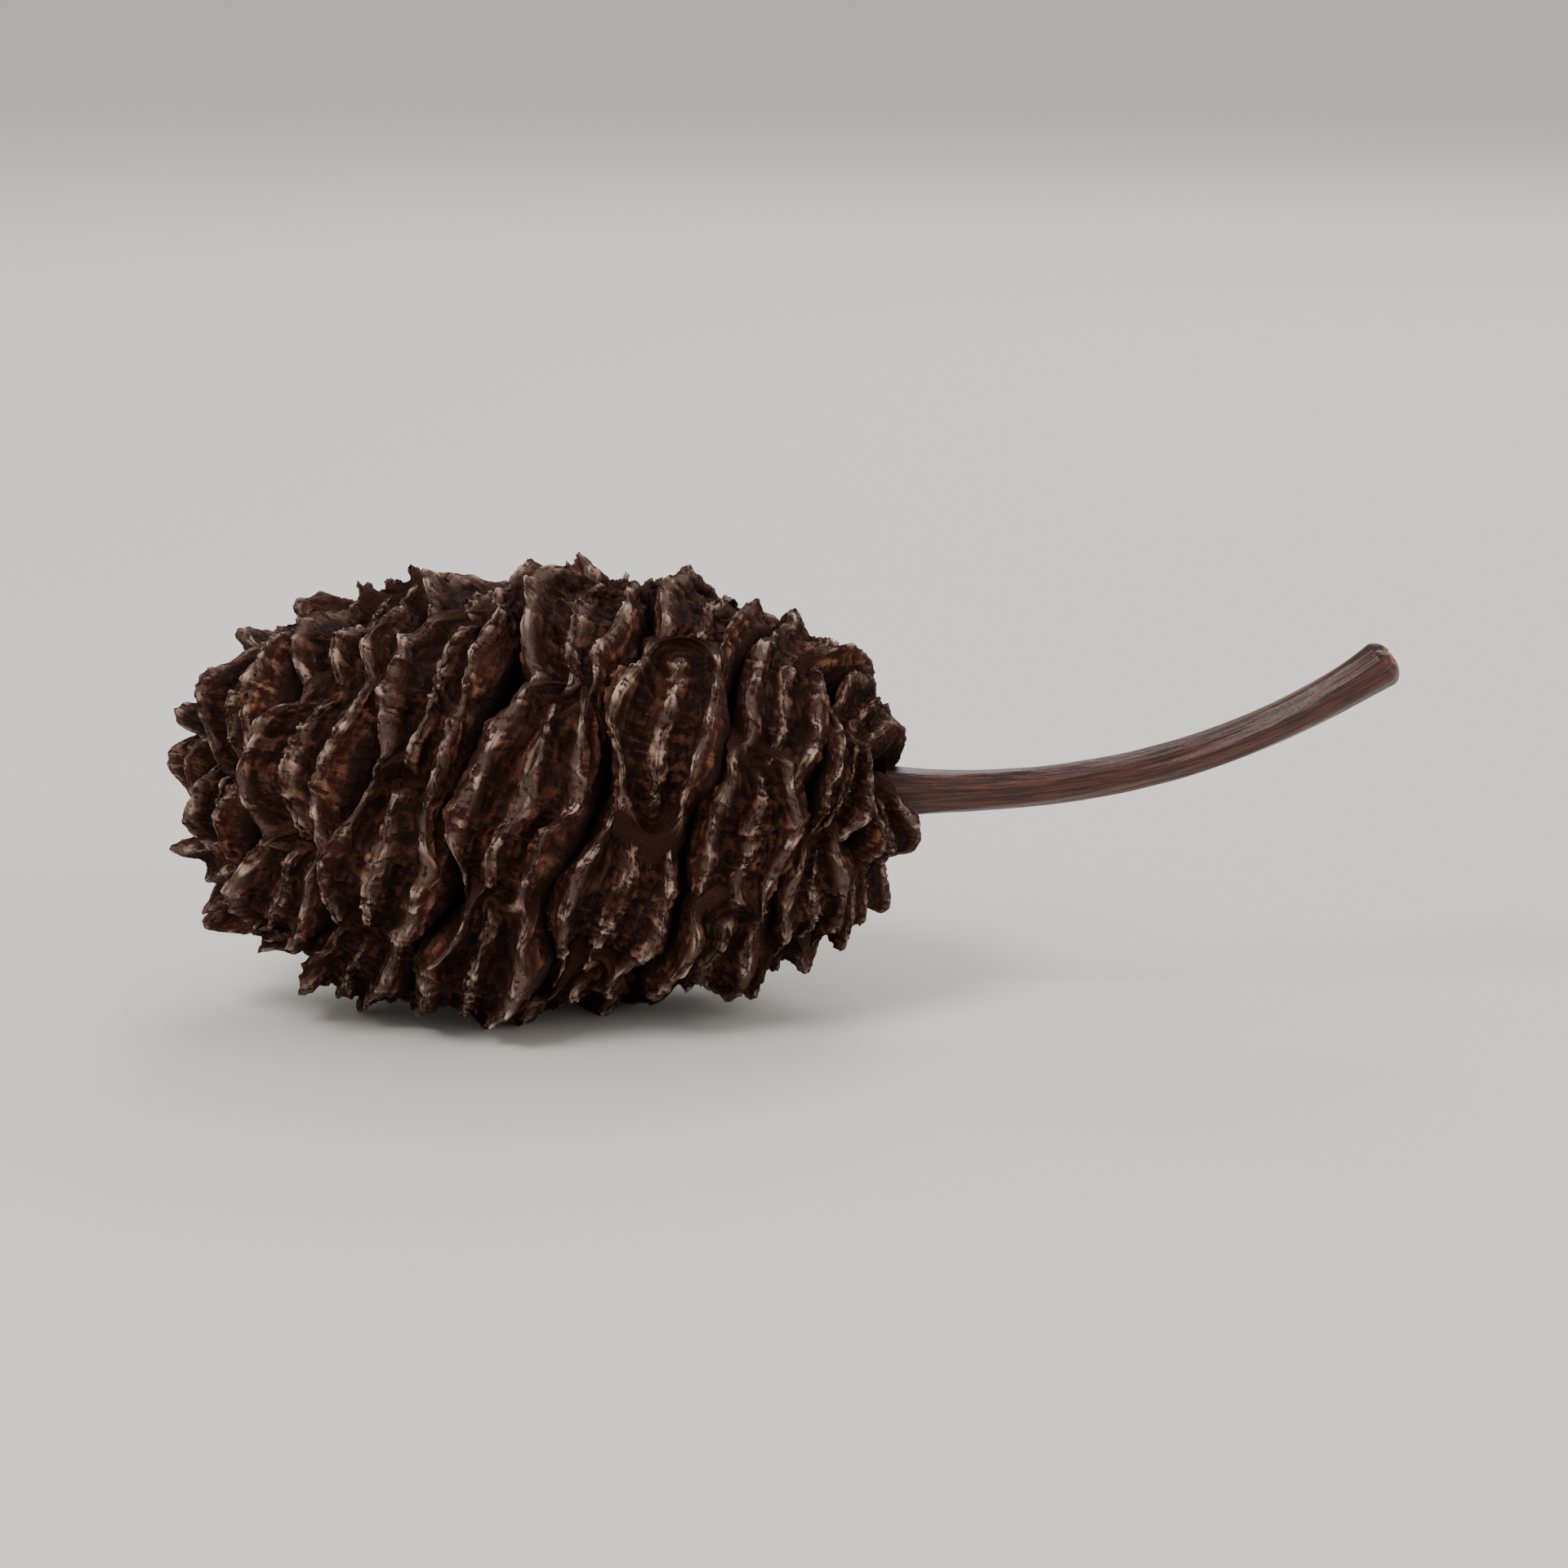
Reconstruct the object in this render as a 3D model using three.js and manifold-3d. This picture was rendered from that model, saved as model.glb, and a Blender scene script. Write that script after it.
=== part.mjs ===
// A black alder cone: the woody fruit cone, closed up and dry, lying on its side with its stalk.
// Millimetres, +Z up. The cone is drawn with its axis along +Y, from the stalk to the tip, and is
// then turned so that the tip points along -X and the stalk along +X. The origin is on the ground
// under the middle of the whole part.

import * as THREE from "three";
import { mergeVertices } from "three/addons/utils/BufferGeometryUtils.js";
import Module from "manifold-3d";

// Driving dimensions
const bodyLength = 18.2; // over the rims of the scales, stalk end to tip
const bodyDiameter = 11.5; // over the rims of the scales, at the thickest place
const stalkLength = 12.3; // from the neck of the core to the far end
const stalkDiameter = 1.0;

// Shape of the body: a superellipse turned about the axis, a little fuller towards the tip
const halfLength = bodyLength / 2;
const bodyRadius = bodyDiameter / 2;
const fullness = 0.86; // 1 is an ellipse, less is blunter at both ends
const tipLean = 0.05; // share by which the tip half is fuller than the stalk half
const firstAngle = 0.3; // where on the outline the scales begin, in radians from the stalk end
const lastAngle = Math.PI - 0.24; // and where they end, near the tip

// The scales, in the spiral order in which the cone grew
const scaleCount = 54;
const goldenAngle = Math.PI * (3 - Math.sqrt(5));
const rowSkip = 3; // every third scale lies next to the last one along a row
const rowTurn = rowSkip * goldenAngle - 2 * Math.PI; // how far round the next one in the row is
const widthShare = 1.0; // width of a scale over the distance to the next one in its row
const heightShare = 0.96; // height of a rim over the distance to the next row
const rootPull = 0.55; // the roots lie closer together along the axis than the rims do
const rootDrop = 1.8; // and nearer the stalk, so the scales lean towards the tip
const unevenReach = 0.055; // how much longer or shorter than the rest a scale may be, as a share
const unevenRoll = 0.08; // and how far it may be turned out of its row, in radians
const restingTurn = 58.8; // degrees the head is rolled about its axis to lie on its widest footing
const footDepth = 0.22; // how much of the lowest rims is worn flat where the cone lies
const shortestEdge = 0.005; // shorter edges, where scales just meet, are closed up

// One scale, ring by ring from its root to its rim: how far out it lies, in scale lengths, and
// its half width and half height there, in half widths and half heights of the whole scale
const scaleRings = [
  [0.2, 0.2, 0],
  [0.76, 0.88, 0.86],
  [0.9, 1.0, 0.82],
  [1.0, 0.93, 0.62],
  [0.91, 0.82, 0.3],
  [0.97, 0.7, 0],
];
const scaleSides = 12;
const boxiness = 3.6; // exponent of the outline of a ring: 2 is an ellipse, more is squarer
const lobeCount = 3; // lobes along each lip of a rim
const lobeHeight = 0.12; // how far they stand up, in half heights
const lobeReach = 0.03; // and how far out, in scale lengths
const rimWrap = 0.11; // how far the ends of a rim bend back round the cone, in scale lengths
const endDrop = 0.06; // and how much further they drop to let the next rim in, in scale lengths
const rimBow = 0.12; // how far they bend towards the tip, in half heights

// The core that carries the scales, and the neck where the stalk joins it
const coreShare = 0.6; // core radius over body radius
const coreSpan = 0.8; // core length over body length
const coreSides = 10;
const coreRings = 7;
const neckRadius = 0.75;
const neckY = 0.8 - halfLength;

// The stalk
const stalkSides = 12;
const stalkRings = 16;
const stalkRise = 0.275; // how far it has risen at its far end, over its length
const stalkCurl = 2.6; // exponent of the rise: the bend is near the far end
const footSwell = 0.4; // how much thicker it is where it joins the cone, as a share
const footSpread = 12; // and how fast that dies away
const scarSwell = 0.22; // how much thicker it is at the scar where it left the twig
const scarSpread = 14;
const scarRound = 0.35; // how far its end is rounded off

const wasm = await Module();
wasm.setup();

// The same shape with one vertex at each corner
function welded(geometry) {
  geometry.deleteAttribute("normal");
  geometry.deleteAttribute("uv");
  return mergeVertices(geometry, 1e-4);
}

function solidOf(geometry) {
  return new wasm.Manifold(
    new wasm.Mesh({
      numProp: 3,
      vertProperties: geometry.attributes.position.array,
      triVerts: new Uint32Array(geometry.index.array),
    }),
  );
}

function geometryOf(solid) {
  const mesh = solid.getMesh();
  const geometry = new THREE.BufferGeometry();
  geometry.setAttribute("position", new THREE.BufferAttribute(mesh.vertProperties, 3));
  geometry.setIndex(new THREE.BufferAttribute(mesh.triVerts, 1));
  geometry.computeVertexNormals();
  return geometry;
}

// The outline of the body at an angle from the stalk end (0) to the tip (pi)
function outline(angle) {
  const y = -halfLength * Math.cos(angle);
  const radius = bodyRadius * Math.sin(angle) ** fullness * (1 - tipLean * Math.cos(angle));
  return new THREE.Vector2(radius, y);
}

// A number from -1 to 1 that wanders evenly from one scale to the next
function wander(index, rate) {
  return 2 * ((index * rate) % 1) - 1;
}

// Turns a sine or cosine into that of a squarer outline
function boxy(value) {
  return Math.sign(value) * Math.abs(value) ** (2 / boxiness);
}

// One scale in its own units: x outwards, y across, z towards the tip of the cone. It is a tube
// whose two ends are pressed flat, the root to an edge and the rim to a low ridge in the furrow
// between its two lips.
function unitScale() {
  const rings = scaleRings.toReversed();
  const geometry = new THREE.CylinderGeometry(1, 1, 1, scaleSides, rings.length - 1, true);
  const position = geometry.attributes.position;
  for (let i = 0; i < position.count; i++) {
    const [out, halfWidth, halfHeight] = rings[Math.floor(i / (scaleSides + 1))];
    const turn = (2 * Math.PI * (i % (scaleSides + 1))) / scaleSides;
    const lobe = Math.cos(2 * lobeCount * turn);
    const y = halfWidth * boxy(Math.sin(turn));
    const z = halfHeight * boxy(-Math.cos(turn)) * (1 + lobeHeight * lobe);
    const x = out + lobeReach * halfHeight * lobe - rimWrap * y ** 2 - endDrop * y ** 6;
    position.setXYZ(i, x, y, z + rimBow * out * y ** 2);
  }
  return welded(geometry);
}

// Where a scale sits: its own axes as columns, from its root on the axis to its rim on the body
function scaleMatrix(index) {
  const step = (lastAngle - firstAngle) / (scaleCount - 1);
  const angle = firstAngle + index * step;
  const turn = index * goldenAngle + THREE.MathUtils.degToRad(restingTurn);
  const here = outline(angle);
  const along = outline(angle + step / 2).sub(outline(angle - step / 2));
  const pace = along.length();
  const rowStep = Math.hypot(rowTurn * here.x, rowSkip * pace);
  const rowDistance = (2 * Math.PI * here.x * pace) / rowStep;

  // The rim is rolled to line up with its neighbours along the row.
  const radial = new THREE.Vector3(Math.cos(turn), 0, Math.sin(turn));
  const upward = radial.clone().multiplyScalar(along.x / pace).setY(along.y / pace);
  const sideways = new THREE.Vector3(Math.sin(turn), 0, -Math.cos(turn));
  const normal = new THREE.Vector3().crossVectors(sideways, upward);
  const slope = Math.atan2(rowSkip * pace, rowTurn * here.x);
  const roll = unevenRoll * wander(index, Math.SQRT2) - slope;
  sideways.applyAxisAngle(normal, roll).multiplyScalar((widthShare * rowStep) / 2);
  upward.applyAxisAngle(normal, roll).multiplyScalar((heightShare * rowDistance) / 2);

  const reach = here.x * (1 + unevenReach * wander(index, Math.sqrt(3)));
  const root = new THREE.Vector3(0, rootPull * here.y - rootDrop, 0);
  const outwards = radial.clone().multiplyScalar(reach).setY(here.y).sub(root);
  return new THREE.Matrix4().makeBasis(outwards, sideways, upward).setPosition(root);
}

// The spindle in the middle of the cone, with a neck that meets the stalk
function coreGeometry() {
  const profile = [new THREE.Vector2(0, neckY), new THREE.Vector2(neckRadius, neckY)];
  for (let i = 1; i < coreRings; i++) {
    const point = outline(firstAngle + (i * (Math.PI - firstAngle)) / coreRings);
    profile.push(new THREE.Vector2(coreShare * point.x, coreSpan * point.y));
  }
  profile.push(new THREE.Vector2(0, coreSpan * halfLength));
  return welded(new THREE.LatheGeometry(profile, coreSides));
}

// The core and all the scales in one body
function headSolid() {
  const scale = unitScale();
  let head = solidOf(coreGeometry());
  for (let i = 0; i < scaleCount; i++) {
    head = head.add(solidOf(scale.clone().applyMatrix4(scaleMatrix(i))));
  }
  return head;
}

// The stalk is turned straight and then bent upwards, its sections square to the bend.
function stalkGeometry() {
  const profile = [new THREE.Vector2(0, 0)];
  for (let i = 0; i <= stalkRings; i++) {
    const along = i / stalkRings;
    const foot = footSwell * Math.exp(-footSpread * along);
    const scar = scarSwell * Math.exp(-scarSpread * (1 - along));
    const radius = (stalkDiameter / 2) * (1 + foot + scar);
    profile.push(new THREE.Vector2(radius, along * (stalkLength - scarRound)));
  }
  profile.push(new THREE.Vector2(stalkDiameter / 2 - scarRound / 2, stalkLength));
  profile.push(new THREE.Vector2(0, stalkLength));
  const geometry = new THREE.LatheGeometry(profile, stalkSides);
  const position = geometry.attributes.position;
  for (let i = 0; i < position.count; i++) {
    const along = position.getY(i) / stalkLength;
    const above = -position.getZ(i);
    const rise = stalkRise * stalkLength * along ** stalkCurl;
    const bend = Math.atan(stalkRise * stalkCurl * along ** (stalkCurl - 1));
    position.setY(i, neckY - position.getY(i) + above * Math.sin(bend));
    position.setZ(i, rise + above * Math.cos(bend));
  }
  geometry.computeVertexNormals();
  return geometry;
}

const wholeHead = headSolid();
const groundZ = wholeHead.boundingBox().min[2] + footDepth;
const restingHead = wholeHead.trimByPlane([0, 0, 1], groundZ).asOriginal().simplify(shortestEdge);

const headMaterial = new THREE.MeshStandardMaterial({ color: 0x3a241a, roughness: 0.72, metalness: 0 });
const head = new THREE.Mesh(geometryOf(restingHead), headMaterial);
head.name = "cone_head";

const stalkMaterial = new THREE.MeshStandardMaterial({ color: 0x75503a, roughness: 0.6, metalness: 0 });
const stalk = new THREE.Mesh(stalkGeometry(), stalkMaterial);
stalk.name = "stalk";

const cone = new THREE.Group().add(head, stalk);
cone.rotation.z = Math.PI / 2;
const middle = new THREE.Box3().setFromObject(cone, true).getCenter(new THREE.Vector3());
cone.position.set(-middle.x, -middle.y, -groundZ);

const part = new THREE.Group().add(cone);

export default part;
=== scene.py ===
# %% [markdown]
# # An alder cone
#
# This is the small woody fruit cone of a black alder, closed up and dry, lying on its side
# with its stalk. The solids of the part come first, as a fixed frame in metres: a head with
# its scales, and a stalk. Both are then drawn again in finer form, in the same place, with
# the folds, wrinkles and colours of dry wood.

import math
from collections import namedtuple

import bmesh
import bpy
import numpy as np
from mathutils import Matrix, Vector


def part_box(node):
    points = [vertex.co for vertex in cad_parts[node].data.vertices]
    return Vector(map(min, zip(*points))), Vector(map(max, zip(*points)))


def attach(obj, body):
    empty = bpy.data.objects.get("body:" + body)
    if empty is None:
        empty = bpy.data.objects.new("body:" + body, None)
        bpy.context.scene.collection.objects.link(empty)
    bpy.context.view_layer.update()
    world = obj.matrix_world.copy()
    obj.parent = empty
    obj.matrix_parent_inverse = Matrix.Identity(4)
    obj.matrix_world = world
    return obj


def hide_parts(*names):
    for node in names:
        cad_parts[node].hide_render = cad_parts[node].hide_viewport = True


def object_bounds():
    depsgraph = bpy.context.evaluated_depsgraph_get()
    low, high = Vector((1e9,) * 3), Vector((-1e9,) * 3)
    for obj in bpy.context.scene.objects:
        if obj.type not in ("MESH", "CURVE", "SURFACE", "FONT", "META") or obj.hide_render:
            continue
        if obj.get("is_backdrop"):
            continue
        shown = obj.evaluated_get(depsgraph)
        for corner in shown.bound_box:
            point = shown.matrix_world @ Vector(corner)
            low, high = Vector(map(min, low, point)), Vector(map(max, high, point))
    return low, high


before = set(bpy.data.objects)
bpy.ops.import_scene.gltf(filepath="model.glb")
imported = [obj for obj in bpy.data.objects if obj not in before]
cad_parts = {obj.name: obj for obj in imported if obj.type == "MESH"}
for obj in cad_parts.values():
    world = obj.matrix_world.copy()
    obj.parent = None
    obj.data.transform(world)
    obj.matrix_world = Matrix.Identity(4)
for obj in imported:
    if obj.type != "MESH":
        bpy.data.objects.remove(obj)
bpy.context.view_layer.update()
MM = 0.001

# %% [markdown]
# ## Writing nodes as sums
#
# The cone grows by a rule, so most of it is arithmetic, and so are its colours. A node tree
# that is full of Math nodes is hard to read. Here a socket is wrapped in a small class whose
# operators add those nodes, so a formula in the script looks like the formula itself.

# %% A socket that can be calculated with


class Socket:
    """The output of a node. Each sum written with it adds a Math node."""

    def __init__(self, graph, link):
        self.graph = graph
        self.link = link

    def math(self, operation, *others):
        values = dict(enumerate((self, *others)))
        return self.graph.node("ShaderNodeMath", {"operation": operation}, values)

    def turned_round(self, operation, other):
        return self.graph.node("ShaderNodeMath", {"operation": operation}, {0: other, 1: self})

    def __add__(self, other):
        return self.math("ADD", other)

    def __radd__(self, other):
        return self.math("ADD", other)

    def __sub__(self, other):
        return self.math("SUBTRACT", other)

    def __rsub__(self, other):
        return self.turned_round("SUBTRACT", other)

    def __mul__(self, other):
        return self.math("MULTIPLY", other)

    def __rmul__(self, other):
        return self.math("MULTIPLY", other)

    def __truediv__(self, other):
        return self.math("DIVIDE", other)

    def __rtruediv__(self, other):
        return self.turned_round("DIVIDE", other)

    def __pow__(self, other):
        return self.math("POWER", other)

    def __neg__(self):
        return self.math("MULTIPLY", -1)

    def __abs__(self):
        return self.math("ABSOLUTE")


def sine(value):
    return value.math("SINE")


def cosine(value):
    return value.math("COSINE")


print("a sum of sockets adds Math nodes to their tree")

# %% A tree that nodes are added to


class Graph:
    """One node tree. node() takes a node's type, its settings and what its sockets get."""

    def __init__(self, tree):
        self.tree = tree
        self.entry = None

    def node(self, kind, settings=None, values=None, output=0):
        node = self.tree.nodes.new(kind)
        for name, value in (settings or {}).items():
            setattr(node, name, value)
        for key, value in (values or {}).items():
            self.feed(self.find(node.inputs, key), value)
        return Socket(self, self.find(node.outputs, output))

    def find(self, sockets, key):
        if isinstance(key, int):
            return sockets[key]
        shown = [s for s in sockets if s.enabled]
        return next(s for s in shown if key in (s.identifier, s.name))

    def feed(self, socket, value):
        if isinstance(value, Socket):
            self.tree.links.new(value.link, socket)
        else:
            socket.default_value = value

    def input(self, name, kind="NodeSocketFloat"):
        if self.entry is None:
            self.entry = self.tree.nodes.new("NodeGroupInput")
        made = self.tree.interface.new_socket(name, in_out="INPUT", socket_type=kind)
        return Socket(self, self.find(self.entry.outputs, made.identifier))

    def vector(self, x, y, z):
        return self.node("ShaderNodeCombineXYZ", None, {0: x, 1: y, 2: z})

    def vector_math(self, operation, *vectors):
        values = dict(enumerate(vectors))
        return self.node("ShaderNodeVectorMath", {"operation": operation}, values)

    def scaled(self, vector, factor):
        values = {0: vector, "Scale": factor}
        return self.node("ShaderNodeVectorMath", {"operation": "SCALE"}, values)

    def noise(self, vector, scale=1.0, detail=2.0, roughness=0.5, output=0):
        sizes = {"Scale": scale, "Detail": detail, "Roughness": roughness}
        return self.node("ShaderNodeTexNoise", None, {"Vector": vector, **sizes}, output)

    def smooth(self, value, zero_at, one_at):
        """0 up to the first limit, 1 past the second and a soft step between them."""
        limits = {"Value": value, "From Min": zero_at, "From Max": one_at}
        return self.node("ShaderNodeMapRange", {"interpolation_type": "SMOOTHSTEP"}, limits)


print("a tree takes every node through one method")

# %% [markdown]
# ## A tree for a shape
#
# The scales, the core and the stalk are each made by Geometry Nodes, as a rule with named
# sizes. The three trees share a few steps, such as moving points and storing numbers on them,
# so those are written once. They also end alike: the shape goes to its place, with nothing
# below the ground, copies become real faces, and these become smooth and get their finish.
# The result is kept as a plain mesh.

# %% Steps that the trees share
LOWEST_CORNER = (-1.0, -1.0, 0.0)  # the ground, and far away to the left and in front


class ShapeGraph(Graph):
    """A Geometry Nodes tree, with the steps that every shape here needs."""

    def __init__(self, name):
        tree = bpy.data.node_groups.new(name, "GeometryNodeTree")
        tree.interface.new_socket("Geometry", in_out="OUTPUT", socket_type="NodeSocketGeometry")
        super().__init__(tree)

    def here(self):
        return self.node("GeometryNodeInputPosition")

    def normal(self):
        return self.node("GeometryNodeInputNormal")

    def placed(self, geometry, position):
        values = {"Geometry": geometry, "Position": position}
        return self.node("GeometryNodeSetPosition", None, values)

    def moved(self, geometry, direction, distance):
        values = {"Geometry": geometry, "Offset": self.scaled(direction, distance)}
        return self.node("GeometryNodeSetPosition", None, values)

    def store(self, geometry, name, value, domain="POINT", kind="FLOAT"):
        settings = {"data_type": kind, "domain": domain}
        values = {"Geometry": geometry, "Name": name, "Value": value}
        return self.node("GeometryNodeStoreNamedAttribute", settings, values)

    def stored(self, name, kind="FLOAT"):
        settings = {"data_type": kind}
        return self.node("GeometryNodeInputNamedAttribute", settings, {"Name": name}, "Attribute")

    def finish(self, geometry, start):
        """Moves the shape to its place, in metres, and makes it real, smooth and finished."""
        metres = self.scaled(self.vector_math("ADD", self.here(), start), MM)
        above_ground = self.vector_math("MAXIMUM", metres, LOWEST_CORNER)
        shape = self.placed(geometry, above_ground)
        shape = self.node("GeometryNodeRealizeInstances", None, {"Geometry": shape})
        shape = self.node("GeometryNodeSetShadeSmooth", None, {"Geometry": shape})
        values = {"Geometry": shape, "Material": self.input("Finish", "NodeSocketMaterial")}
        shape = self.node("GeometryNodeSetMaterial", None, values)
        self.feed(self.tree.nodes.new("NodeGroupOutput").inputs[0], shape)
        print(f"the tree '{self.tree.name}' has {len(self.tree.nodes)} nodes")


print("a tree for shapes can place, move, store and finish")

# %% Running a tree on an object


def grow(name, mesh, tree, sizes):
    """Runs the tree on a mesh with these sizes, and leaves its result as a plain mesh."""
    piece = bpy.data.objects.new(name, mesh)
    bpy.context.scene.collection.objects.link(piece)
    modifier = piece.modifiers.new("grow", "NODES")
    modifier.node_group = tree
    for socket in tree.interface.items_tree:
        if socket.in_out == "INPUT" and socket.name in sizes:
            modifier[socket.identifier] = sizes[socket.name]
    evaluated = bpy.context.evaluated_depsgraph_get()
    plain = bpy.data.meshes.new_from_object(piece.evaluated_get(evaluated))
    piece.modifiers.remove(modifier)
    piece.data = plain
    plain.name = name
    triangles = sum(len(face.vertices) - 2 for face in plain.polygons)
    print(f"{name}: {len(plain.vertices)} points, {triangles} triangles")
    return piece


print("a tree can be run, with its sizes given by name")

# %% [markdown]
# ## Where the cone lies
#
# The cone lies along X, its tip towards -X. The frame's stalk begins on the cone's axis, at
# the neck, so its box tells where the axis is. The sizes are the real ones, in millimetres.

# %% The axis of the cone
BODY_LENGTH = 18.2
BODY_DIAMETER = 11.5
STALK_LENGTH = 12.3
STALK_DIAMETER = 1.0
NECK_DEPTH = 0.8  # how far inside the stalk end of the body the stalk begins
FOOT_SWELL = 0.4  # how much thicker the stalk is there, as a share

stalk_low, stalk_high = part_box("stalk")
foot_radius = STALK_DIAMETER / 2 * (1 + FOOT_SWELL)
axis_y = (stalk_low.y + stalk_high.y) / 2 / MM
neck = Vector((stalk_low.x / MM, axis_y, stalk_low.z / MM + foot_radius))
middle = neck - Vector((BODY_LENGTH / 2 - NECK_DEPTH, 0, 0))
print("neck at", [round(v, 3) for v in neck])
print("middle of the cone at", [round(v, 3) for v in middle])

# %% [markdown]
# ## One scale
#
# A scale of a closed alder cone is a wedge: narrow at its root on the axis, and thick and
# broad at its rim, the only part that shows. The rim has an upper and a lower lip, and a low
# ridge in the furrow between them. It could be sculpted, but a few numbers say as much and
# are easy to change: it is a tube of rings whose two ends are pressed flat, in its own units,
# X outwards, Y across and Z towards the tip. Each point remembers how far across and how far
# up it lies, and how far along the tube: 0 at the root, 0.4 where the scale is widest, 0.6 on
# top of a lip, 0.8 in the furrow and 1 on the ridge in the middle.

# %% The rings of a scale
RINGS = np.array(
    [
        (0.2, 0.2, 0.0),  # how far out, half width, half height
        (0.76, 0.88, 0.86),
        (0.9, 1.0, 0.82),
        (1.0, 0.93, 0.62),
        (0.91, 0.82, 0.3),
        (0.97, 0.7, 0.0),
    ]
)
RING_STEPS = (3, 4, 10, 11, 10)  # rings drawn from each of these to the next
LIP_TOP = 0.6  # how far along the tube the top of a lip lies
FURROW = 0.8


def rounded(rings, steps):
    """A smooth curve through the rings, with so many steps in each stretch."""
    ends = 2 * rings[0] - rings[1], 2 * rings[-1] - rings[-2]
    points = np.vstack([ends[0], rings, ends[1]])
    curve = []
    for k, count in enumerate(steps):
        a, b, c, d = points[k : k + 4]
        for t in np.arange(count) / count:
            bend = (2 * a - 5 * b + 4 * c - d) * t**2 + (3 * b - a - 3 * c + d) * t**3
            curve.append((*(b + ((c - a) * t + bend) / 2), (k + t) / len(steps)))
    curve.append((*rings[-1], 1.0))
    return curve


print("rings in a scale:", len(rounded(RINGS, RING_STEPS)))

# %% The outline of a rim
SCALE_SIDES = 138
BOXINESS = 3.6  # 2 is an ellipse, more is squarer
RIM_BREADTH = 2  # about how broad a rim is over its height
WALK_POINTS = 4001  # points that the outline is measured with


def boxy(value):
    """Turns a sine or cosine into that of a squarer outline."""
    return np.sign(value) * np.abs(value) ** (2 / BOXINESS)


def even_turns(sides):
    """Turns that lie evenly spaced along the outline of a rim."""
    turns = np.linspace(0, 2 * np.pi, WALK_POINTS)
    edge = np.column_stack([RIM_BREADTH * boxy(np.sin(turns)), boxy(-np.cos(turns))])
    walked = np.append(0, np.cumsum(np.linalg.norm(np.diff(edge, axis=0), axis=1)))
    return np.interp(walked[-1] * np.arange(sides) / sides, walked, turns)


print("first turns round a rim:", even_turns(SCALE_SIDES)[:4].round(3))

# %% The mesh of a scale
LOBE_COUNT = 3  # low lobes along each lip
LOBE_HEIGHT = 0.12
LOBE_REACH = 0.03
RIM_WRAP = 0.13  # how far the ends of a rim bend back round the cone
END_DROP = 0.18  # how much further they drop, to let the next rim in
RIM_BOW = 0.12  # how far they bend towards the tip
WELD_DISTANCE = 1e-5


def scale_mesh():
    bm = bmesh.new()
    across = bm.verts.layers.float.new("across")
    upper = bm.verts.layers.float.new("upper")
    along = bm.verts.layers.float.new("along")
    turns = even_turns(SCALE_SIDES)
    lobes = np.cos(2 * LOBE_COUNT * turns)
    tube = []
    for out, half_width, half_height, share in rounded(RINGS, RING_STEPS):
        y = half_width * boxy(np.sin(turns))
        z = half_height * boxy(-np.cos(turns)) * (1 + LOBE_HEIGHT * lobes)
        x = out + LOBE_REACH * half_height * lobes - RIM_WRAP * y**2 - END_DROP * y**6
        ring = []
        for place in zip(x, y, z + RIM_BOW * out * y**2, z):
            vert = bm.verts.new(place[:3])
            vert[across] = place[1]
            vert[upper] = place[3]
            vert[along] = share
            ring.append(vert)
        tube.append(ring)
    for low, high in zip(tube, tube[1:]):
        for k in range(SCALE_SIDES):
            j = (k + 1) % SCALE_SIDES
            bm.faces.new((low[k], low[j], high[j], high[k]))
    bmesh.ops.remove_doubles(bm, verts=bm.verts, dist=WELD_DISTANCE)
    bmesh.ops.recalc_face_normals(bm, faces=bm.faces)
    mesh = bpy.data.meshes.new("scale")
    bm.to_mesh(mesh)
    bm.free()
    return mesh


one_scale = scale_mesh()
print("one scale:", len(one_scale.vertices), "points,", len(one_scale.polygons), "faces")

# %% [markdown]
# ## How the scales grow round the axis
#
# Each new scale stands a golden angle further round than the last and a small step nearer
# the tip. Every third one is then almost beside the last, so the rims line up in three
# oblique rows that wind round the cone. Geometry Nodes repeat the one scale by that rule, one
# row at a time. Each copy gets a matrix of its own, because a scale is not only placed and
# sized but also leans to the tip.

# %% The inputs of the rule
scale_rule = ShapeGraph("scales round an axis")
unit = scale_rule.input("One scale", "NodeSocketGeometry")
length = scale_rule.input("Body length")
diameter = scale_rule.input("Body diameter")
count = scale_rule.input("Scale count", "NodeSocketInt")
row = scale_rule.input("Row", "NodeSocketInt")
width_share = scale_rule.input("Width share")
height_share = scale_rule.input("Height share")
uneven_reach = scale_rule.input("Uneven reach")
uneven_roll = scale_rule.input("Uneven roll")
resting_turn = scale_rule.input("Resting turn")
centre = scale_rule.input("Middle of the cone", "NodeSocketVector")
sockets = [item.name for item in scale_rule.tree.interface.items_tree]
print("sockets of the rule:", ", ".join(sockets))

# %% The outline of the body
FULLNESS = 0.86  # 1 is an ellipse, less is blunter at both ends
TIP_LEAN = 0.05  # how much fuller the tip half is
FIRST_ANGLE = 0.3  # where on the outline the scales begin, from the stalk end
LAST_ANGLE = math.pi - 0.24
GOLDEN_ANGLE = math.pi * (3 - math.sqrt(5))
ROW_SKIP = 3
ROW_TURN = ROW_SKIP * GOLDEN_ANGLE - 2 * math.pi


def outline(angle, length, diameter):
    """Distance from the axis and place along it, at an angle from the stalk end."""
    radius = diameter / 2 * sine(angle) ** FULLNESS * (1 - TIP_LEAN * cosine(angle))
    return radius, -(length / 2 * cosine(angle))


def wander(number, rate):
    """From -1 to 1, evenly scattered from one scale to the next."""
    return 2 * (number * rate).math("FRACT") - 1


print("golden angle", round(math.degrees(GOLDEN_ANGLE), 2))
print("turn from one scale of a row to the next", round(math.degrees(ROW_TURN), 2))

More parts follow.
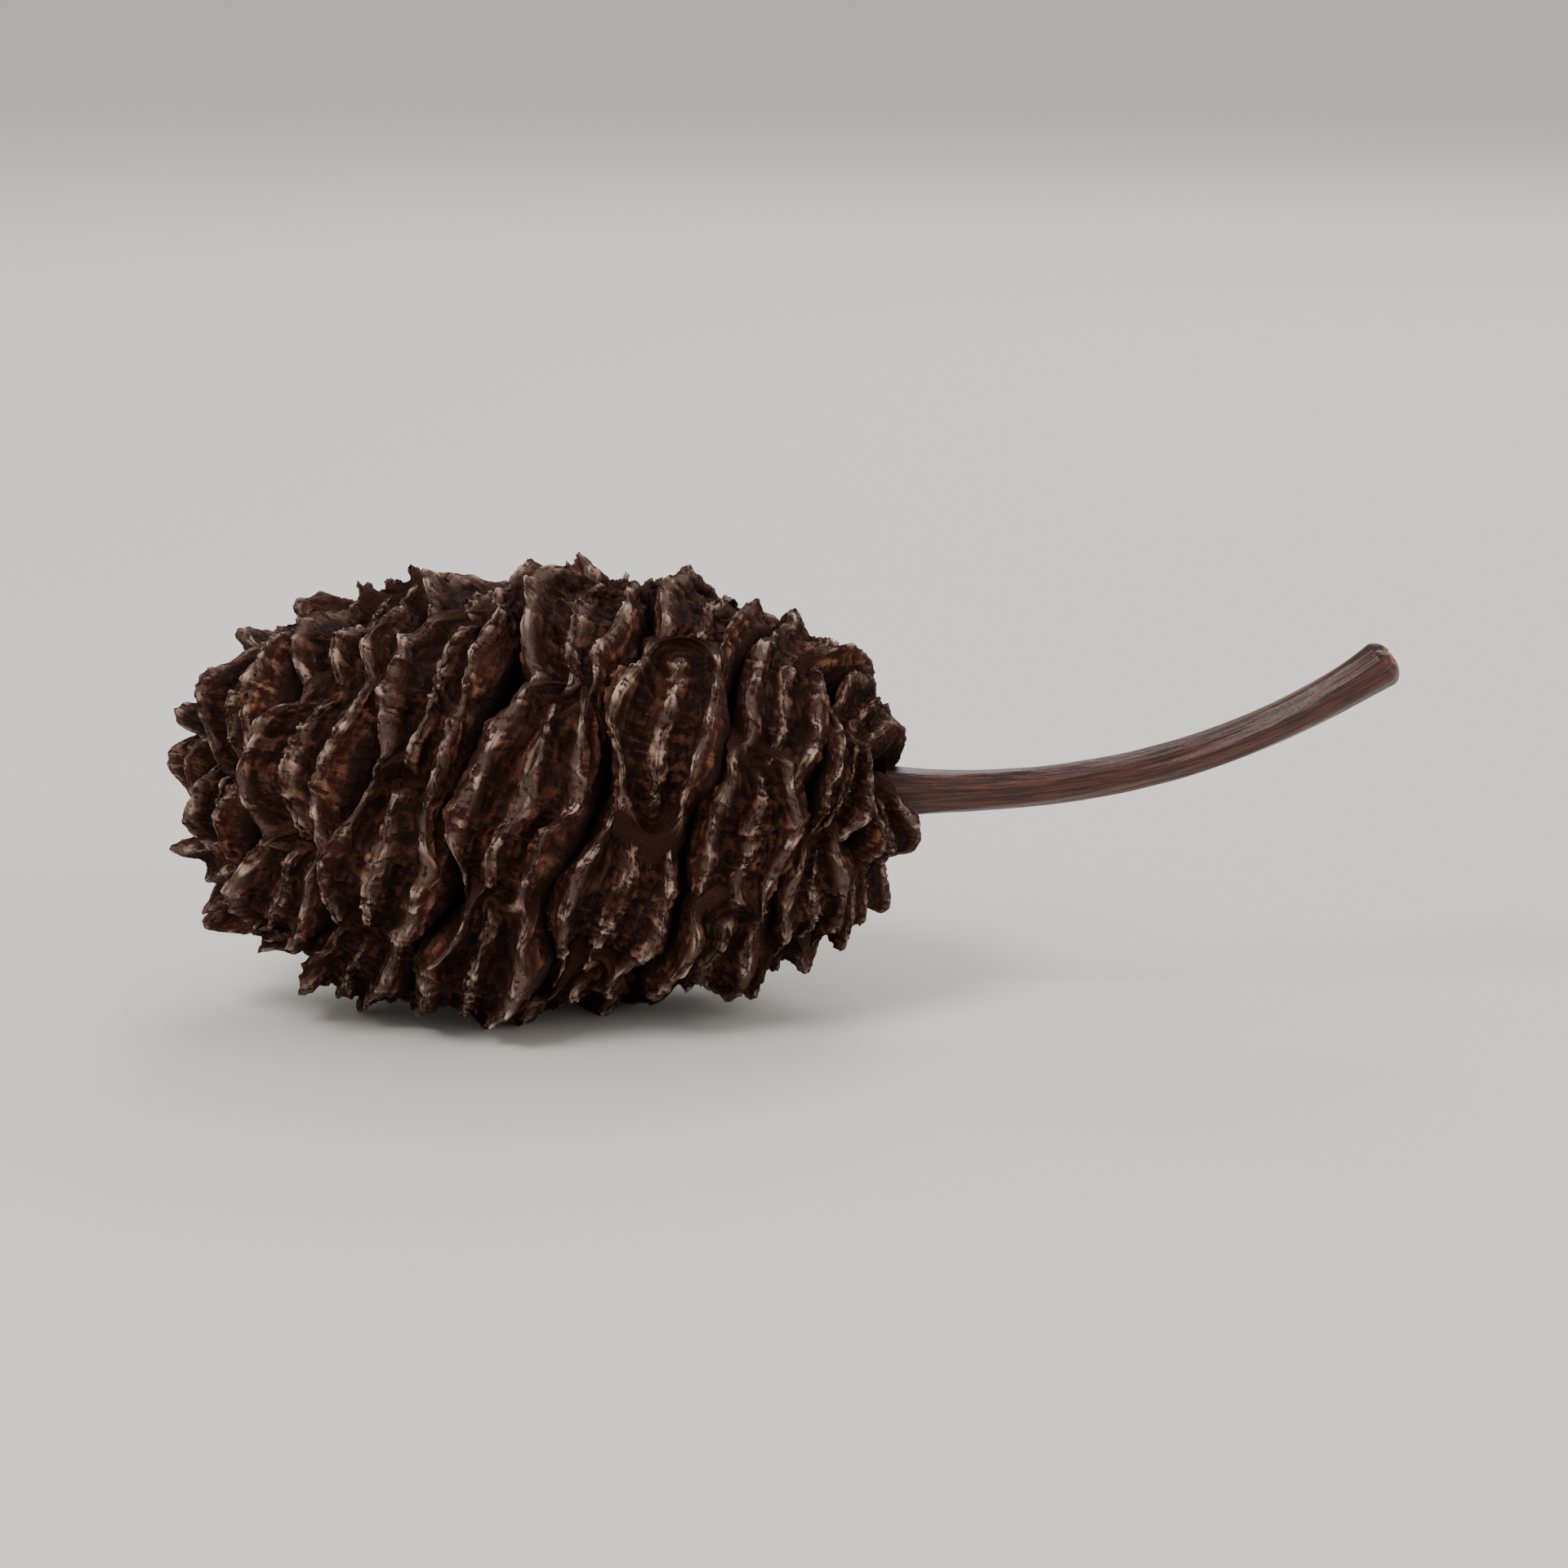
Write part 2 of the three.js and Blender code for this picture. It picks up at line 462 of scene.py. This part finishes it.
# %% The place of each scale
number = scale_rule.node("GeometryNodeInputIndex") * ROW_SKIP + row
step = (LAST_ANGLE - FIRST_ANGLE) / (count - 1)
angle = FIRST_ANGLE + number * step
turn = number * GOLDEN_ANGLE + resting_turn
radius, place = outline(angle, length, diameter)
radius_after, place_after = outline(angle + step / 2, length, diameter)
radius_before, place_before = outline(angle - step / 2, length, diameter)
widening = radius_after - radius_before
climb = place_after - place_before
pace = (widening**2 + climb**2).math("SQRT")
round_row = ROW_TURN * radius
along_row = ROW_SKIP * pace
row_step = (round_row**2 + along_row**2).math("SQRT")
row_distance = 2 * math.pi * radius * pace / row_step
print("nodes for the place:", len(scale_rule.tree.nodes))

# %% The directions of each scale
ROOT_PULL = 0.55  # the roots lie closer together along the axis than the rims do
ROOT_DROP = 1.8  # and nearer the stalk, so the scales lean towards the tip

cos_turn, sin_turn = cosine(turn), sine(turn)
sideways = (0, sin_turn, -cos_turn)
upward = (-(climb / pace), cos_turn * widening / pace, sin_turn * widening / pace)
roll = uneven_roll * wander(number, math.sqrt(2)) - along_row.math("ARCTAN2", round_row)
cos_roll, sin_roll = cosine(roll), sine(roll)
half_width = width_share * row_step / 2
half_height = height_share * row_distance / 2
rim_across = [(cos_roll * s + sin_roll * u) * half_width for s, u in zip(sideways, upward)]
rim_upward = [(cos_roll * u - sin_roll * s) * half_height for s, u in zip(sideways, upward)]
reach = radius * (1 + uneven_reach * wander(number, math.sqrt(3)))
root = ROOT_PULL * place - ROOT_DROP
outward = (root - place, cos_turn * reach, sin_turn * reach)
columns = (*outward, 0.0, *rim_across, 0.0, *rim_upward, 0.0, -root, 0.0, 0.0, 1.0)
print("nodes with the directions:", len(scale_rule.tree.nodes))

# %% The copies
points = scale_rule.node("GeometryNodePoints", None, {"Count": count / ROW_SKIP})
values = {"Points": points, "Instance": unit}
copies = scale_rule.node("GeometryNodeInstanceOnPoints", None, values)
matrix = scale_rule.node("FunctionNodeCombineMatrix", None, dict(enumerate(columns)))
values = {"Instances": copies, "Transform": matrix}
copies = scale_rule.node("GeometryNodeSetInstanceTransform", None, values)
copies = scale_rule.store(copies, "number", number, "INSTANCE")
copies = scale_rule.store(copies, "size", half_width, "INSTANCE")
outward = scale_rule.vector(*outward)
copies = scale_rule.store(copies, "outwards", outward, "INSTANCE", "FLOAT_VECTOR")
scales = scale_rule.node("GeometryNodeRealizeInstances", None, {"Geometry": copies})
print("nodes with the copies:", len(scale_rule.tree.nodes))

# %% [markdown]
# ## Waves, beads and creases
#
# No two rims are alike. Neighbouring rims wave together, so all their points are first moved
# by one soft noise. Each lip, and the ridge between the lips, is then cut into rounded beads
# less than a millimetre wide, by notches that run over it at a slant. The notches go straight
# down towards the scale's root, because notches along the normal would eat into a thin lip
# from both its sides and leave knobs on stems. The surface is then evened out a little, as
# worn knobs are round. Last come the creases along the rim and the finer cracks across it,
# outwards with the grain of the wood, and they follow the normal. Beads and folds are deeper
# on a broader scale, and die away at the two ends of a rim, where it is thin. The points
# remember how deep they lie, so that the colours can follow.

# %% The waves
wave_size = scale_rule.input("Wave size")
wave_depth = scale_rule.input("Wave depth")
sway = scale_rule.noise(scale_rule.here(), 1 / wave_size, detail=1.0, output="Color")
sway = scale_rule.vector_math("SUBTRACT", sway, (0.5, 0.5, 0.5))  # to lie round zero
scales = scale_rule.moved(scales, sway, wave_depth)
print("nodes with the waves:", len(scale_rule.tree.nodes))

# %% Where a point lies on its rim
Rim = namedtuple("Rim", "across upper along number")


def rim_place(read):
    """The numbers that each point of a scale has, read by a tree for a shape or a finish."""
    return Rim(*(read(name) for name in Rim._fields))


def stretched(graph, rim, across, along, apart):
    """Where to read a noise: finer across and along by so much, and apart for each scale."""
    return graph.vector(rim.across * across, rim.along * along, rim.number * apart + rim.upper)


rim = rim_place(scale_rule.stored)
print("each point knows:", ", ".join(Rim._fields))

# %% The notches between the beads
BEAD_SLANT = 0.55  # how far a notch leans over as it crosses the rim, in beads
BEAD_DRIFT = 2.2  # how uneven the beads are
BEAD_SHIFT = 0.37  # how far they shift from one scale to the next
RIDGE_BEADS = 0.7  # how deep the notches of the ridge are, next to those of the lips

bead_count = scale_rule.input("Beads on a lip")
bead_depth = scale_rule.input("Bead depth")
drift = scale_rule.vector(rim.across * 1.4, rim.upper * 0.9, rim.number * 5.3)
drift = scale_rule.noise(drift, scale=1.5, detail=1.0)
bead_phase = rim.across * bead_count / 2 + rim.upper * BEAD_SLANT + drift * BEAD_DRIFT
bead_phase = bead_phase + rim.number * BEAD_SHIFT
on_lip = scale_rule.smooth(abs(rim.along - LIP_TOP), 0.2, 0.04)
on_ridge = scale_rule.smooth(rim.along, 0.84, 0.98)
notches = (abs(cosine(bead_phase * math.pi)) - 1) * (on_lip + on_ridge * RIDGE_BEADS)
print("nodes with the notches:", len(scale_rule.tree.nodes))

# %% The beads
END_BEADS = 0.2  # how much of a notch is left at the ends of a rim
EVENING_ROUNDS = 5

size = scale_rule.stored("size")
off_the_ends = scale_rule.smooth(abs(rim.across), 1.0, 0.75)
lift = notches * bead_depth * size * (END_BEADS + (1 - END_BEADS) * off_the_ends)
outwards = scale_rule.vector_math("NORMALIZE", scale_rule.stored("outwards", "FLOAT_VECTOR"))
scales = scale_rule.moved(scales, outwards, lift)
values = {"Value": scale_rule.here(), "Iterations": EVENING_ROUNDS}
evened = scale_rule.node("GeometryNodeBlurAttribute", {"data_type": "FLOAT_VECTOR"}, values)
scales = scale_rule.placed(scales, evened)
print("nodes with the beads:", len(scale_rule.tree.nodes))

# %% The creases and cracks
VALLEY_WIDTH = 0.7  # 1 has straight slopes, less has narrower valleys
END_FOLDS = 0.4  # how much of the folds is left at the ends of a rim
LIP_LOSS = 0.5  # how much of them a lip loses


def valleys(place, scale, detail):
    """Narrow valleys between round hills: 0 in a valley and nearly 1 on a hill."""
    return abs(scale_rule.noise(place, scale, detail, roughness=0.6) * 2 - 1) ** VALLEY_WIDTH


swell_depth = scale_rule.input("Swelling")
crease_depth = scale_rule.input("Crease depth")
crack_depth = scale_rule.input("Crack depth")

# Each of these has a number taken off, to lie round zero, or the scale would grow thicker.
swelling = scale_rule.vector(rim.across * 1.1, rim.upper, rim.number * 2.7)
swelling = scale_rule.noise(swelling, scale=1.2, detail=1.0) - 0.55
creases = stretched(scale_rule, rim, across=2.6, along=11, apart=7.1)
creases = valleys(creases, scale=1.2, detail=2.5) - 0.5
cracks = stretched(scale_rule, rim, across=13, along=4, apart=3.3)
cracks = valleys(cracks, scale=1.0, detail=2.0) - 0.4
at_rim = scale_rule.smooth(rim.along, 0.22, 0.4)
folds = swelling * swell_depth + creases * crease_depth + cracks * crack_depth
lift = folds * size * at_rim * (1 - on_lip * LIP_LOSS)
lift = lift * (END_FOLDS + (1 - END_FOLDS) * off_the_ends)
# The fold also tells the finish where to paint shade in the hollows, and keeps most of the
# painted highlight off them.
fold = notches * 0.6 + creases + cracks * 0.4  # how raised or hollow a place is to look
scales = scale_rule.store(scales, "fold", fold)
scales = scale_rule.moved(scales, scale_rule.normal(), lift)
print("nodes with the folds:", len(scale_rule.tree.nodes))

# %% [markdown]
# ## Lying on the ground
#
# The cone is drawn round its own middle in millimetres, so it is moved to its place and made
# metres last. The lowest rims are worn flat: no point lies below the ground. Each of the
# three rows becomes a piece of its own, because all the scales in one piece would have more
# faces than one piece should.

# %% The three rows of scales
SCALE_COUNT = 54
RESTING_TURN = math.radians(58.8)  # how far the cone is rolled, to lie on its widest footing

scale_rule.finish(scales, centre)
cone_wood = bpy.data.materials.new("dry cone wood")
rows = []
for row_number in range(ROW_SKIP):
    sizes = {
        "Body length": BODY_LENGTH,
        "Body diameter": BODY_DIAMETER,
        "Scale count": SCALE_COUNT,
        "Row": row_number,
        "Width share": 1.1,  # of the distance to the next scale in the row
        "Height share": 1.06,  # of the distance to the next row
        "Uneven reach": 0.055,  # a share of the radius
        "Uneven roll": 0.08,  # in radians
        "Resting turn": RESTING_TURN,
        "Middle of the cone": middle,
        "Wave size": 2.2,  # this and the next are in millimetres
        "Wave depth": 1.4,
        "Beads on a lip": 6.5,
        "Bead depth": 0.1,  # this and the next three are shares of a scale's half width
        "Swelling": 0.1,
        "Crease depth": 0.12,
        "Crack depth": 0.075,
        "Finish": cone_wood,
    }
    name = f"scales_row_{row_number + 1}"
    rows.append(grow(name, one_scale, scale_rule.tree, sizes))

# %% [markdown]
# ## The core
#
# Between the scales the woody axis shows in a few gaps, as darkness more than as a shape. It
# is a spindle on the same outline, only smaller, with a neck for the stalk. It could be
# turned on a lathe with Spin, but a circle swept along a straight line can follow the very
# formula of the outline, and the same steps then serve for the stalk.

# %% Sweeping a circle along a line


def straight_line(graph, points):
    line = graph.node("GeometryNodeCurvePrimitiveLine", None, {"End": (1, 0, 0)})
    return graph.node("GeometryNodeResampleCurve", None, {"Curve": line, "Count": points})


def unit_circle(graph, sides):
    sizes = {"Resolution": sides, "Radius": 1}
    return graph.node("GeometryNodeCurvePrimitiveCircle", None, sizes)


def swept(graph, line, circle, radius):
    values = {"Curve": line, "Profile Curve": circle, "Scale": radius, "Fill Caps": True}
    return graph.node("GeometryNodeCurveToMesh", None, values)


print("a circle can be swept along a line, wider here and narrower there")

# %% The spindle
CORE_SHARE = 0.6  # core radius over body radius
CORE_SPAN = 0.8  # core length over body length
CORE_POINTS = 41
CORE_SIDES = 48
NECK_RADIUS = 0.75
NECK_BLUNTNESS = 8

core_rule = ShapeGraph("spindle")
length = core_rule.input("Body length")
diameter = core_rule.input("Body diameter")
centre = core_rule.input("Middle of the cone", "NodeSocketVector")
line = straight_line(core_rule, CORE_POINTS)
share = core_rule.node("GeometryNodeSplineParameter")
angle = FIRST_ANGLE + share * (math.pi - FIRST_ANGLE)
core_radius, core_place = outline(angle, length, diameter)
core_place = (core_place * CORE_SPAN).math("MAXIMUM", NECK_DEPTH - length / 2)
least_radius = NECK_RADIUS * (1 - share**NECK_BLUNTNESS)
core_radius = (core_radius * CORE_SHARE).math("MAXIMUM", least_radius)
line = core_rule.placed(line, core_rule.vector(-core_place, 0, 0))
spindle = swept(core_rule, line, unit_circle(core_rule, CORE_SIDES), core_radius)
core_rule.finish(spindle, centre)

sizes = {
    "Body length": BODY_LENGTH,
    "Body diameter": BODY_DIAMETER,
    "Middle of the cone": middle,
    "Finish": cone_wood,
}
core = grow("core", bpy.data.meshes.new("core"), core_rule.tree, sizes)

# %% [markdown]
# ## The stalk
#
# The stalk is a dry twig about a millimetre thick. It leaves the cone straight and bends up
# near its end, where a round scar shows where it broke from the twig. Ridges run along it. It
# is swept as the core is, along a line that rises, because that keeps its section square to
# the bend. The ridges are waves round the section, and a noise makes them uneven.

# %% The line of the stalk
STALK_RISE = 0.275  # how far it has risen at its far end, over its length
STALK_CURL = 2.6  # more puts the bend nearer the far end
STALK_POINTS = 321

stalk_rule = ShapeGraph("ridged stalk")
stalk_length = stalk_rule.input("Stalk length")
stalk_diameter = stalk_rule.input("Stalk diameter")
start = stalk_rule.input("Start", "NodeSocketVector")
line = straight_line(stalk_rule, STALK_POINTS)
share = stalk_rule.node("GeometryNodeSplineParameter")
line = stalk_rule.store(line, "along", share)
rise = STALK_RISE * stalk_length * share**STALK_CURL
line = stalk_rule.placed(line, stalk_rule.vector(share * stalk_length, 0, rise))
print("nodes for the line:", len(stalk_rule.tree.nodes))

# %% Its thickness
FOOT_SPREAD = 12  # how fast the swelling of the foot dies away
SCAR_SWELL = 0.22  # how much thicker the stalk is at the scar
SCAR_SPREAD = 14
SCAR_ROUND = 0.35  # how far its end is rounded off
SCAR_CLOSING = 0.88  # how much of its section the rounding takes away

full = (share * stalk_length / (stalk_length - SCAR_ROUND)).math("MINIMUM", 1)
foot = FOOT_SWELL * (full * -FOOT_SPREAD).math("EXPONENT")
scar = SCAR_SWELL * ((full - 1) * SCAR_SPREAD).math("EXPONENT")
stalk_radius = stalk_diameter / 2 * (1 + foot + scar)
past = ((share - 1) * stalk_length / SCAR_ROUND + 1).math("MAXIMUM", 0)
stalk_radius = stalk_radius * (1 - SCAR_CLOSING * past**2).math("SQRT")
print("nodes with the thickness:", len(stalk_rule.tree.nodes))

# %% Its section
STALK_SIDES = 96
RIDGE_TWIST = 1.3  # how far the ridges wind round the stalk, in radians

ridge_count = stalk_rule.input("Ridges")
ridge_depth = stalk_rule.input("Ridge depth")
circle = unit_circle(stalk_rule, STALK_SIDES)
circle = stalk_rule.store(circle, "around", stalk_rule.node("GeometryNodeSplineParameter"))
twig = swept(stalk_rule, line, circle, stalk_radius)
along = stalk_rule.stored("along")
around = stalk_rule.stored("around") * 2 * math.pi
twist = around + along * RIDGE_TWIST
ridges = cosine(twist * ridge_count) * 0.5 + cosine(twist * (ridge_count - 2) + 1) * 0.35
bumps = stalk_rule.vector(cosine(around) * 1.6, sine(around) * 1.6, along * 7)
bumps = stalk_rule.noise(bumps, scale=1.5, detail=3.0) - 0.5
lift = (ridges - 0.8) * ridge_depth + bumps * ridge_depth * 1.5
twig = stalk_rule.moved(twig, stalk_rule.normal(), lift)
stalk_rule.finish(twig, start)

# %% The twig
stalk_wood = bpy.data.materials.new("stalk bark")
sizes = {
    "Stalk length": STALK_LENGTH,
    "Stalk diameter": STALK_DIAMETER,
    "Start": neck,
    "Ridges": 7,
    "Ridge depth": 0.03,
    "Finish": stalk_wood,
}
twig_piece = grow("twig", bpy.data.meshes.new("twig"), stalk_rule.tree, sizes)

# %% [markdown]
# ## The wood
#
# Dry alder scales are dark brown. The crests of their rims are pale in short broken strokes,
# partly rubbed wood and partly a painted highlight. The furrows, the hollows of the creases,
# and the walls and the ends of the rims, where the scales meet, are painted darker as shade,
# the walls and rim ends nearly black. A painted picture would show all this too, but here the
# colours follow what each point remembers of the shape, so they fit every bead and crease.
# Three noises break them up: grain across the rim, wrinkles along it and grit all over. The
# same noises make the bump.

# %% Starting and ending a finish


def colour(red, green, blue):
    """A colour as it looks on screen, in 0 to 255, made linear."""
    parts = (red / 255, green / 255, blue / 255)
    return tuple(p / 12.92 if p < 0.04045 else ((p + 0.055) / 1.055) ** 2.4 for p in parts)


def start_finish(material, constants):
    material.use_nodes = True
    graph = Graph(material.node_tree)
    shader = next(n for n in material.node_tree.nodes if n.type == "BSDF_PRINCIPLED")
    for name, value in constants.items():
        shader.inputs[name].default_value = value
    return graph, shader


def end_finish(graph, shader, tint, roughness, bump):
    graph.feed(shader.inputs["Base Color"], tint)
    graph.feed(shader.inputs["Roughness"], roughness)
    graph.feed(shader.inputs["Normal"], graph.node("ShaderNodeBump", None, bump))
    print("nodes in the finish:", len(graph.tree.nodes))


print("a mid grey on screen is", round(colour(128, 128, 128)[0], 3), "in linear light")

# %% Reading and mixing in a finish


def own(graph, name):
    """What a point remembers under this name."""
    return graph.node("ShaderNodeAttribute", {"attribute_name": name}, None, "Fac")


def object_place(graph):
    return graph.node("ShaderNodeTexCoord", None, None, "Object")


def blend(graph, factor, first, second, way="MIX"):
    pair = {
        "Factor_Float": factor,
        "A_Color": first if isinstance(first, Socket) else (*first, 1.0),
        "B_Color": (*second, 1.0),
    }
    settings = {"data_type": "RGBA", "blend_type": way}
    return graph.node("ShaderNodeMix", settings, pair, "Result_Color")


print("a finish can read a point's numbers and mix colours")

# %% The texture of the scales
graph, shader = start_finish(cone_wood, {"Specular IOR Level": 0.14})
rim = rim_place(lambda name: own(graph, name))
where = object_place(graph)
patches = graph.noise(where, scale=380, detail=3.0)
grain = stretched(graph, rim, across=14, along=4, apart=3.1)
grain = graph.noise(grain, detail=4.0, roughness=0.65)
wrinkles = stretched(graph, rim, across=3, along=18, apart=5.7)
wrinkles = graph.noise(wrinkles, detail=4.0, roughness=0.65)
grit = graph.noise(where, scale=5000, detail=4.0, roughness=0.7)
texture = grain * 0.4 + wrinkles * 0.3 + grit * 0.3
print("nodes for the texture:", len(graph.tree.nodes))

# %% Where the scales are rubbed and get a painted highlight, and where shade is painted
# The pale crests are partly rubbed wood and partly a painted highlight.
RIDGE_WEAR_AND_HIGHLIGHT = 0.85  # next to that of the lips
HOLLOW_WEAR_AND_HIGHLIGHT = 0.15  # what is left of the wear in a hollow

on_lip = graph.smooth(abs(rim.along - LIP_TOP), 0.11, 0.03)
on_ridge = graph.smooth(rim.along, 0.89, 0.96)
on_wall = 1 - graph.smooth(rim.along, 0.3, 0.5)
in_furrow = graph.smooth(abs(rim.along - FURROW), 0.15, 0.04)
inside = graph.smooth(abs(rim.across), 0.92, 0.7)
raised = graph.smooth(own(graph, "fold"), -0.6, 0.05)
crest = (on_lip + on_ridge * RIDGE_WEAR_AND_HIGHLIGHT) * inside
wear_and_highlight = graph.smooth(texture, 0.44, 0.52) * (HOLLOW_WEAR_AND_HIGHLIGHT + (1 - HOLLOW_WEAR_AND_HIGHLIGHT) * raised) * crest
print("nodes with the places:", len(graph.tree.nodes))

# %% The colours of the scales
BROWN, TAN = colour(134, 81, 58), colour(164, 112, 87)
PORES = colour(50, 24, 15)
PAINTED_HOLLOW_SHADE = colour(58, 27, 16)
PAINTED_WALL_SHADE = colour(32, 13, 8)
FURROW_SHADE = colour(138, 124, 116)
PAINTED_RIM_END_SHADE = colour(44, 20, 12)
WORN_WOOD_AND_HIGHLIGHT = colour(212, 188, 172)

tint = blend(graph, graph.smooth(patches, 0.35, 0.65), BROWN, TAN)
tint = blend(graph, graph.smooth(texture, 0.53, 0.46), tint, PORES)
# Painted shade: the hollows of the creases and notches are darkened.
tint = blend(graph, 1 - raised, tint, PAINTED_HOLLOW_SHADE)
# Painted shade: the walls of the rims, down in the gaps between the scales, are nearly black.
tint = blend(graph, on_wall, tint, PAINTED_WALL_SHADE)
# Painted shade: the furrow between the lips is darkened.
tint = blend(graph, in_furrow, tint, FURROW_SHADE, "MULTIPLY")
# Painted shade: the ends of the rims, where the scales meet, are darkened.
tint = blend(graph, (1 - inside) * 0.85, tint, PAINTED_RIM_END_SHADE)
# The crests: partly rubbed, paler wood and partly a painted highlight.
tint = blend(graph, wear_and_highlight * 0.95, tint, WORN_WOOD_AND_HIGHLIGHT)
bump = {"Strength": 1.0, "Distance": 0.0005, "Height": texture}
end_finish(graph, shader, tint, 0.7 + 0.25 * grit, bump)

# %% [markdown]
# ## The bark of the stalk
#
# The stalk is darker and smoother than the scales, with a faint gloss. Its colour runs in
# streaks along the ridges, so its noise is read on a cylinder that is much stouter than the
# stalk, which draws the noise out along it. The scar at its end is paler: bare wood, with a
# painted highlight on it.

# %% The finish of the stalk
DARK_BARK, RED_BARK = colour(36, 13, 7), colour(84, 43, 29)
BARE_WOOD_AND_HIGHLIGHT = colour(128, 92, 72)

graph, shader = start_finish(stalk_wood, {"Specular IOR Level": 0.4})
along = own(graph, "along")
around = own(graph, "around") * 2 * math.pi
streaks = graph.vector(cosine(around) * 5, sine(around) * 5, along * 6)
streaks = graph.noise(streaks, scale=1.6, detail=4.0, roughness=0.6)
fine = graph.noise(object_place(graph), scale=6000, detail=3.0, roughness=0.6)
tint = blend(graph, graph.smooth(streaks, 0.4, 0.62), DARK_BARK, RED_BARK)
# Painted highlight: the scar at the end is bare wood, made paler still as a highlight.
tint = blend(graph, graph.smooth(along, 0.994, 0.998), tint, BARE_WOOD_AND_HIGHLIGHT)
bump = {"Strength": 0.5, "Distance": 0.00006, "Height": streaks * 0.7 + fine * 0.3}
end_finish(graph, shader, tint, 0.22 + 0.2 * fine, bump)

# %% [markdown]
# ## On the frame
#
# The rows and the core stand for the solid head, and the twig for the solid stalk. The solids
# are hidden but keep their place in the physics. Nothing on a cone moves by itself, so every
# piece rides on the one body.

# %% The pieces on the frame
for piece in (*rows, core):
    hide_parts("cone_head")
    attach(piece, "root")
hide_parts("stalk")
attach(twig_piece, "root")
print("on the frame:", [piece.name for piece in (*rows, core, twig_piece)])

# %% [markdown]
# ## Floor, light and camera
#
# The cone lies on pale paper, far wider than the view, so that no edge of it shows. Three
# large soft lamps and a faint warm sky keep the shadows soft, with the key lamp in front and
# to the left. The camera looks a little down on the side of the cone through a long lens, as
# in the photograph, and its distance follows from the length of the part.

# %% The floor
PAPER_COLOUR = colour(228, 224, 218)

floor_mesh = bpy.data.meshes.new("floor")
floor_mesh.from_pydata([(-1, -1, 0), (1, -1, 0), (1, 1, 0), (-1, 1, 0)], [], [(0, 1, 2, 3)])
floor = bpy.data.objects.new("floor", floor_mesh)
bpy.context.scene.collection.objects.link(floor)
paper = bpy.data.materials.new("pale paper")
start_finish(paper, {"Base Color": (*PAPER_COLOUR, 1.0), "Roughness": 0.9})
floor_mesh.materials.append(paper)
floor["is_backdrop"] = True
print("floor:", len(floor_mesh.polygons), "face of", len(floor_mesh.vertices), "points")

# %% Light
SKY_COLOUR = (1.0, 0.98, 0.95, 1.0)
SKY_STRENGTH = 0.7
LAMP_TARGET = Vector((0, 0, 0.005))

world = bpy.data.worlds.new("studio")
world.use_nodes = True
sky = world.node_tree.nodes["Background"]
sky.inputs["Color"].default_value = SKY_COLOUR
sky.inputs["Strength"].default_value = SKY_STRENGTH
bpy.context.scene.world = world


def lamp(name, place, size, power):
    data = bpy.data.lights.new(name, "AREA")
    data.size = size
    data.energy = power
    lamp_object = bpy.data.objects.new(name, data)
    lamp_object.location = place
    aim = LAMP_TARGET - Vector(place)
    lamp_object.rotation_euler = aim.to_track_quat("-Z", "Y").to_euler()
    bpy.context.scene.collection.objects.link(lamp_object)
    print(f"{name} lamp: {power} W, {aim.length:.2f} m away")


lamp("key", place=(-0.12, -0.16, 0.24), size=0.12, power=0.55)
lamp("fill", place=(0.22, -0.12, 0.12), size=0.2, power=0.2)
lamp("back", place=(0.05, 0.2, 0.2), size=0.15, power=0.3)

# %% Camera
LENS = 100
ELEVATION = math.radians(12)
WIDTH_IN_VIEW = 0.78  # how much of the picture's width the part takes up

low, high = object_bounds()
camera_data = bpy.data.cameras.new("camera")
camera_data.lens = LENS
camera_data.clip_start = 0.001  # in metres, because the cone is small and close
camera = bpy.data.objects.new("camera", camera_data)
bpy.context.scene.collection.objects.link(camera)
bpy.context.scene.camera = camera
target = (low + high) / 2
distance = (high.x - low.x) / WIDTH_IN_VIEW * LENS / camera_data.sensor_width
camera.location = target + distance * Vector((0, -math.cos(ELEVATION), math.sin(ELEVATION)))
camera.rotation_euler = (math.pi / 2 - ELEVATION, 0, 0)
print("camera", [round(v, 4) for v in camera.location])
